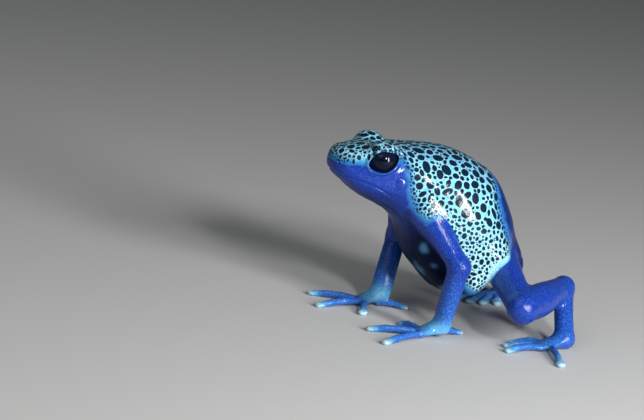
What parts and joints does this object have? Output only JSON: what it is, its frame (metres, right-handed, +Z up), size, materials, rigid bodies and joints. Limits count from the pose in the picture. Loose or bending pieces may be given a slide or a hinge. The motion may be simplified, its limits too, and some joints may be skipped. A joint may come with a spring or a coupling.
{
  "type": "blue poison dart frog model",
  "caption": "Still, life-size model of a blue poison dart frog standing high on its arms with its hind legs folded, its back spotted black on pale blue and its limbs deep blue.",
  "frame": {"origin": "middle of the frog's box at floor level, under the fingers and toes", "axes": "-X the way the head faces, -Y the frog's left side, +Z up from the floor it stands on"},
  "size_m": [0.0464, 0.0486, 0.0332],
  "materials": {
    "back_skin": "wet smooth skin, pale blue with black spots",
    "limb_skin": "wet, finely granular skin, deep blue",
    "eye": "wet black eye"
  },
  "bodies": {
    "root": {"head": "back_skin", "torso": "back_skin", "eye_left": "eye", "tympanum_left": "back_skin", "eye_right": "eye", "tympanum_right": "back_skin", "upper_arm_left": "limb_skin", "forearm_left": "limb_skin", "hand_left": "limb_skin", "thigh_left": "limb_skin", "shank_left": "limb_skin", "tarsus_left": "limb_skin", "foot_left": "limb_skin", "finger_left_1": "limb_skin", "finger_left_2": "limb_skin", "finger_left_3": "limb_skin", "finger_left_4": "limb_skin", "toe_left_1": "limb_skin", "toe_left_2": "limb_skin", "toe_left_3": "limb_skin", "toe_left_4": "limb_skin", "toe_left_5": "limb_skin", "upper_arm_right": "limb_skin", "forearm_right": "limb_skin", "hand_right": "limb_skin", "thigh_right": "limb_skin", "shank_right": "limb_skin", "tarsus_right": "limb_skin", "foot_right": "limb_skin", "finger_right_1": "limb_skin", "finger_right_2": "limb_skin", "finger_right_3": "limb_skin", "finger_right_4": "limb_skin", "toe_right_1": "limb_skin", "toe_right_2": "limb_skin", "toe_right_3": "limb_skin", "toe_right_4": "limb_skin", "toe_right_5": "limb_skin"}
  },
  "joints": []
}
